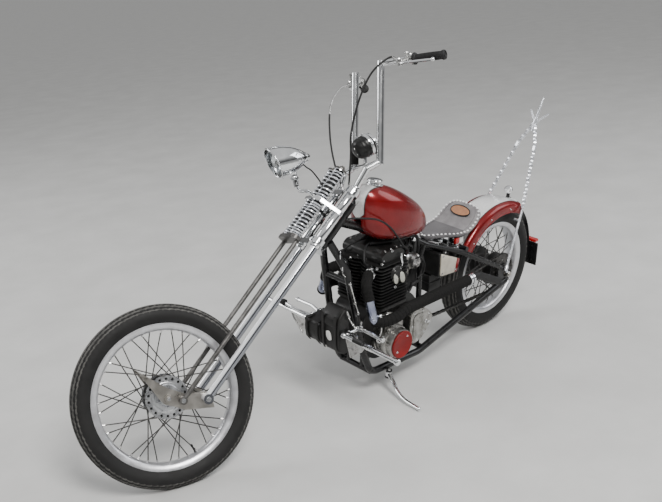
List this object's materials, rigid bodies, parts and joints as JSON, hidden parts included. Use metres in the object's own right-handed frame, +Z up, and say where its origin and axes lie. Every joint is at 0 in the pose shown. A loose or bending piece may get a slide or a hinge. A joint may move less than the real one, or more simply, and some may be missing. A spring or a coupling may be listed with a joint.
{
  "type": "chopper motorcycle",
  "caption": "Rigid-frame chopper motorcycle with a springer fork, wire wheels, an open twin engine and a tall sissy bar, parked leaning on its side stand.",
  "frame": {"origin": "middle of the parked motorcycle's base, on the ground", "axes": "+X forward along the bike, +Y to the rider's left, +Z up"},
  "size_m": [2.5872, 0.805, 1.4805],
  "materials": {
    "frame_black": "satin black paint",
    "engine_black": "black engine enamel",
    "aluminium": "worn bare aluminium",
    "red_metal": "gloss red",
    "chrome": "polished",
    "wrap": "black heat wrap",
    "steel": "bare",
    "leg_grey": "dark grey",
    "tyre": "dusty",
    "spoke": "dull",
    "rim": "polished",
    "grey_leather": "grey",
    "brown_leather": "dark, worn",
    "red_lens": "red lens",
    "plate_white": "blank",
    "glass": "clear",
    "black_rubber": "matt",
    "black_plastic": "matt black"
  },
  "bodies": {
    "frame": {"frame": "frame_black", "crankcase": "engine_black", "cylinders": "engine_black", "cylinder_head": "engine_black", "left_covers": "aluminium", "alternator_disc": "red_metal", "clutch_cover": "aluminium", "carburettors": "aluminium", "exhaust_pipes": "chrome", "exhaust_wraps": "wrap", "tank": "red_metal", "seat": "grey_leather", "rear_fender": "red_metal", "sissy_bar": "chrome", "plate": "plate_white", "tail_lamp": "red_lens", "electrics_box": "black_plastic", "bags": "brown_leather", "chain": "steel", "foot_pegs": "chrome", "kick_starter": "chrome", "tank_cable": "black_plastic", "rear_axle_bar": "steel"},
    "fork": {"front_axle_bar": "steel", "rockers": "steel", "rear_legs": "chrome", "front_legs": "leg_grey", "springs": "chrome", "spring_perch": "chrome", "lower_tree": "chrome", "top_tree": "chrome", "headlight_shell": "chrome", "headlight_lens": "glass", "handlebar": "chrome", "grips": "black_rubber", "levers": "chrome", "gauges": "black_plastic", "cables": "black_plastic"},
    "front_wheel": {"front_tyre": "tyre", "front_rim": "rim", "front_spokes": "spoke", "front_hub": "chrome"},
    "rear_wheel": {"rear_tyre": "tyre", "rear_rim": "rim", "rear_spokes": "spoke", "rear_hub": "aluminium"},
    "side_stand": {"side_stand": "chrome"}
  },
  "joints": [
    {"name": "steering", "type": "hinge", "parent": "frame", "child": "fork", "pos_m": [0.15453, 0.05922, 0.82047], "axis": [-0.7651, 0.0839, 0.6384], "range_deg": [0, 60]},
    {"name": "front_wheel_spin", "type": "hinge", "parent": "fork", "child": "front_wheel", "pos_m": [0.96298, -0.08511, 0.33592], "axis": [0.3218, 0.9086, 0.2662], "continuous": true},
    {"name": "rear_wheel_spin", "type": "hinge", "parent": "frame", "child": "rear_wheel", "pos_m": [-0.91327, -0.00691, 0.31971], "axis": [-0.0002, 0.9914, -0.1305], "continuous": true},
    {"name": "stand_fold", "type": "hinge", "parent": "frame", "child": "side_stand", "pos_m": [-0.06462, 0.09102, 0.08166], "axis": [-0.0607, 0.3151, 0.9471], "range_deg": [0, 93]}
  ]
}
